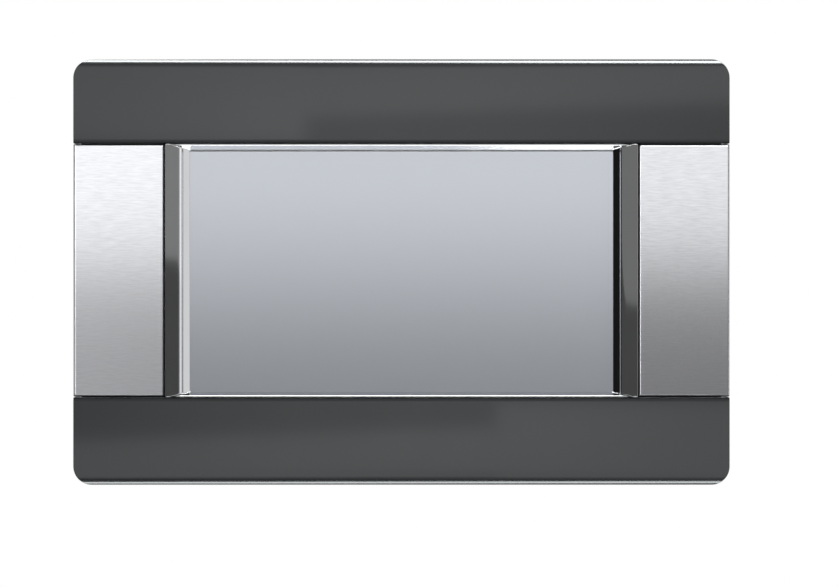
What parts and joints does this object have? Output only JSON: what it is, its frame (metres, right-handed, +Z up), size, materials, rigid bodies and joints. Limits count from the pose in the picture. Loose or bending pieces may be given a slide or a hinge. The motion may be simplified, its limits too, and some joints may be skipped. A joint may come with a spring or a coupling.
{
  "type": "hmi touch panel",
  "caption": "Flush-mounted touch panel: recessed screen, brushed side covers, dark metal trims, rear electronics housing and swing-out wall clamps.",
  "frame": {"origin": "middle of the wall opening that the panel is fitted in, on the front face of the wall, where the flange bears on it", "axes": "+X to the right as the screen is faced, +Y into the wall, +Z up"},
  "size_m": [0.242, 0.047, 0.1572],
  "materials": {
    "gunmetal_trim": "smooth metallic dark grey",
    "brushed_plate": "brushed along the width",
    "cover_shell": "satin dark grey",
    "cheek_strip": "satin dark grey",
    "chrome_surround": "polished",
    "black_moulding": "fine moulded texture",
    "seal_rubber": "matte",
    "touch_glass": "clear, faintly anti-glare",
    "display_layers": "even pale grey, lit from behind",
    "flex_film": "amber film",
    "zinc_plated_steel": "zinc plated",
    "circuit_board": "solder resist",
    "dark_component": "moulded",
    "pale_plastic": "moulded",
    "heat_sink_metal": "extruded",
    "terminal_green": "moulded",
    "insert_brass": "turned",
    "label_metal": "satin, blank"
  },
  "bodies": {
    "panel": {"top_trim": "gunmetal_trim", "bottom_trim": "gunmetal_trim", "left_cheek": "cheek_strip", "right_cheek": "cheek_strip", "screen_surround": "chrome_surround", "front_carrier": "black_moulding", "wall_gasket": "seal_rubber", "touch_glass": "touch_glass", "glass_seal": "seal_rubber", "lcd_frame": "zinc_plated_steel", "lcd_cell": "display_layers", "light_guide": "display_layers", "reflector_tray": "display_layers", "touch_flex": "flex_film", "lcd_flex": "flex_film", "display_bracket": "zinc_plated_steel", "main_board": "circuit_board", "touch_flex_socket": "pale_plastic", "lcd_flex_socket": "pale_plastic", "processor": "dark_component", "heat_sink": "heat_sink_metal", "memory_chip": "dark_component", "flash_chip": "dark_component", "cell_holder": "dark_component", "button_cell": "zinc_plated_steel", "sounder": "dark_component", "ethernet_jack": "zinc_plated_steel", "usb_socket": "zinc_plated_steel", "power_header": "terminal_green", "bus_header": "terminal_green", "card_slot": "zinc_plated_steel", "reset_switch": "dark_component", "rear_housing": "black_moulding", "label_plate": "label_metal", "housing_screw_upper_left": "zinc_plated_steel", "housing_screw_upper_right": "zinc_plated_steel", "housing_screw_lower_left": "zinc_plated_steel", "housing_screw_lower_right": "zinc_plated_steel"},
    "left_cover": {"left_cover_tray": "cover_shell", "left_side_plate": "brushed_plate"},
    "right_cover": {"right_cover_tray": "cover_shell", "right_side_plate": "brushed_plate"},
    "supply_plug": {"power_plug": "terminal_green"},
    "field_plug": {"bus_plug": "terminal_green"},
    "card": {"memory_card": "dark_component"},
    "reset": {"reset_button": "pale_plastic"},
    "screw_upper_left": {"clamp_screw_upper_left": "zinc_plated_steel"},
    "insert_upper_left": {"clamp_insert_upper_left": "insert_brass"},
    "dog_upper_left": {"clamp_dog_upper_left": "black_moulding"},
    "screw_upper_right": {"clamp_screw_upper_right": "zinc_plated_steel"},
    "insert_upper_right": {"clamp_insert_upper_right": "insert_brass"},
    "dog_upper_right": {"clamp_dog_upper_right": "black_moulding"},
    "screw_lower_left": {"clamp_screw_lower_left": "zinc_plated_steel"},
    "insert_lower_left": {"clamp_insert_lower_left": "insert_brass"},
    "dog_lower_left": {"clamp_dog_lower_left": "black_moulding"},
    "screw_lower_right": {"clamp_screw_lower_right": "zinc_plated_steel"},
    "insert_lower_right": {"clamp_insert_lower_right": "insert_brass"},
    "dog_lower_right": {"clamp_dog_lower_right": "black_moulding"}
  },
  "joints": [
    {"name": "left_cover_pull", "type": "slide", "parent": "panel", "child": "left_cover", "axis": [0, -1, 0], "range_m": [0, 0.016]},
    {"name": "right_cover_pull", "type": "slide", "parent": "panel", "child": "right_cover", "axis": [0, -1, 0], "range_m": [0, 0.016]},
    {"name": "power_plug_pull", "type": "slide", "parent": "panel", "child": "supply_plug", "axis": [0, 0, -1], "range_m": [0, 0.01]},
    {"name": "bus_plug_pull", "type": "slide", "parent": "panel", "child": "field_plug", "axis": [0, 0, -1], "range_m": [0, 0.01]},
    {"name": "memory_card_pull", "type": "slide", "parent": "panel", "child": "card", "axis": [0, 0, -1], "range_m": [0, 0.026]},
    {"name": "reset_button_press", "type": "slide", "parent": "panel", "child": "reset", "axis": [0, 0, 1], "range_m": [0, 0.0005], "stiffness_N_per_m": 2000, "springref_m": -0.0002},
    {"name": "clamp_travel_upper_left", "type": "slide", "parent": "panel", "child": "insert_upper_left", "axis": [0, -1, 0], "range_m": [0, 0.0155]},
    {"name": "clamp_screw_turn_upper_left", "type": "hinge", "parent": "panel", "child": "screw_upper_left", "pos_m": [-0.1043, 0, 0.03425], "axis": [0, 1, 0], "range_deg": [0, 7972.4]},
    {"name": "clamp_swing_upper_left", "type": "hinge", "parent": "insert_upper_left", "child": "dog_upper_left", "pos_m": [-0.1043, 0.017, 0.03425], "axis": [0, 1, 0], "range_deg": [0, 90]},
    {"name": "clamp_travel_upper_right", "type": "slide", "parent": "panel", "child": "insert_upper_right", "axis": [0, -1, 0], "range_m": [0, 0.0155]},
    {"name": "clamp_screw_turn_upper_right", "type": "hinge", "parent": "panel", "child": "screw_upper_right", "pos_m": [0.1043, 0, 0.03425], "axis": [0, 1, 0], "range_deg": [0, 7972.4]},
    {"name": "clamp_swing_upper_right", "type": "hinge", "parent": "insert_upper_right", "child": "dog_upper_right", "pos_m": [0.1043, 0.017, 0.03425], "axis": [0, 1, 0], "range_deg": [0, 90]},
    {"name": "clamp_travel_lower_left", "type": "slide", "parent": "panel", "child": "insert_lower_left", "axis": [0, -1, 0], "range_m": [0, 0.0155]},
    {"name": "clamp_screw_turn_lower_left", "type": "hinge", "parent": "panel", "child": "screw_lower_left", "pos_m": [-0.1043, 0, -0.03425], "axis": [0, 1, 0], "range_deg": [0, 7972.4]},
    {"name": "clamp_swing_lower_left", "type": "hinge", "parent": "insert_lower_left", "child": "dog_lower_left", "pos_m": [-0.1043, 0.017, -0.03425], "axis": [0, 1, 0], "range_deg": [0, 90]},
    {"name": "clamp_travel_lower_right", "type": "slide", "parent": "panel", "child": "insert_lower_right", "axis": [0, -1, 0], "range_m": [0, 0.0155]},
    {"name": "clamp_screw_turn_lower_right", "type": "hinge", "parent": "panel", "child": "screw_lower_right", "pos_m": [0.1043, 0, -0.03425], "axis": [0, 1, 0], "range_deg": [0, 7972.4]},
    {"name": "clamp_swing_lower_right", "type": "hinge", "parent": "insert_lower_right", "child": "dog_lower_right", "pos_m": [0.1043, 0.017, -0.03425], "axis": [0, 1, 0], "range_deg": [0, 90]}
  ],
  "couplings": [
    {"joint": "clamp_screw_turn_upper_left", "follows": "clamp_travel_upper_left", "rad_per_m": 8976},
    {"joint": "clamp_screw_turn_upper_right", "follows": "clamp_travel_upper_right", "rad_per_m": 8976},
    {"joint": "clamp_screw_turn_lower_left", "follows": "clamp_travel_lower_left", "rad_per_m": 8976},
    {"joint": "clamp_screw_turn_lower_right", "follows": "clamp_travel_lower_right", "rad_per_m": 8976}
  ]
}
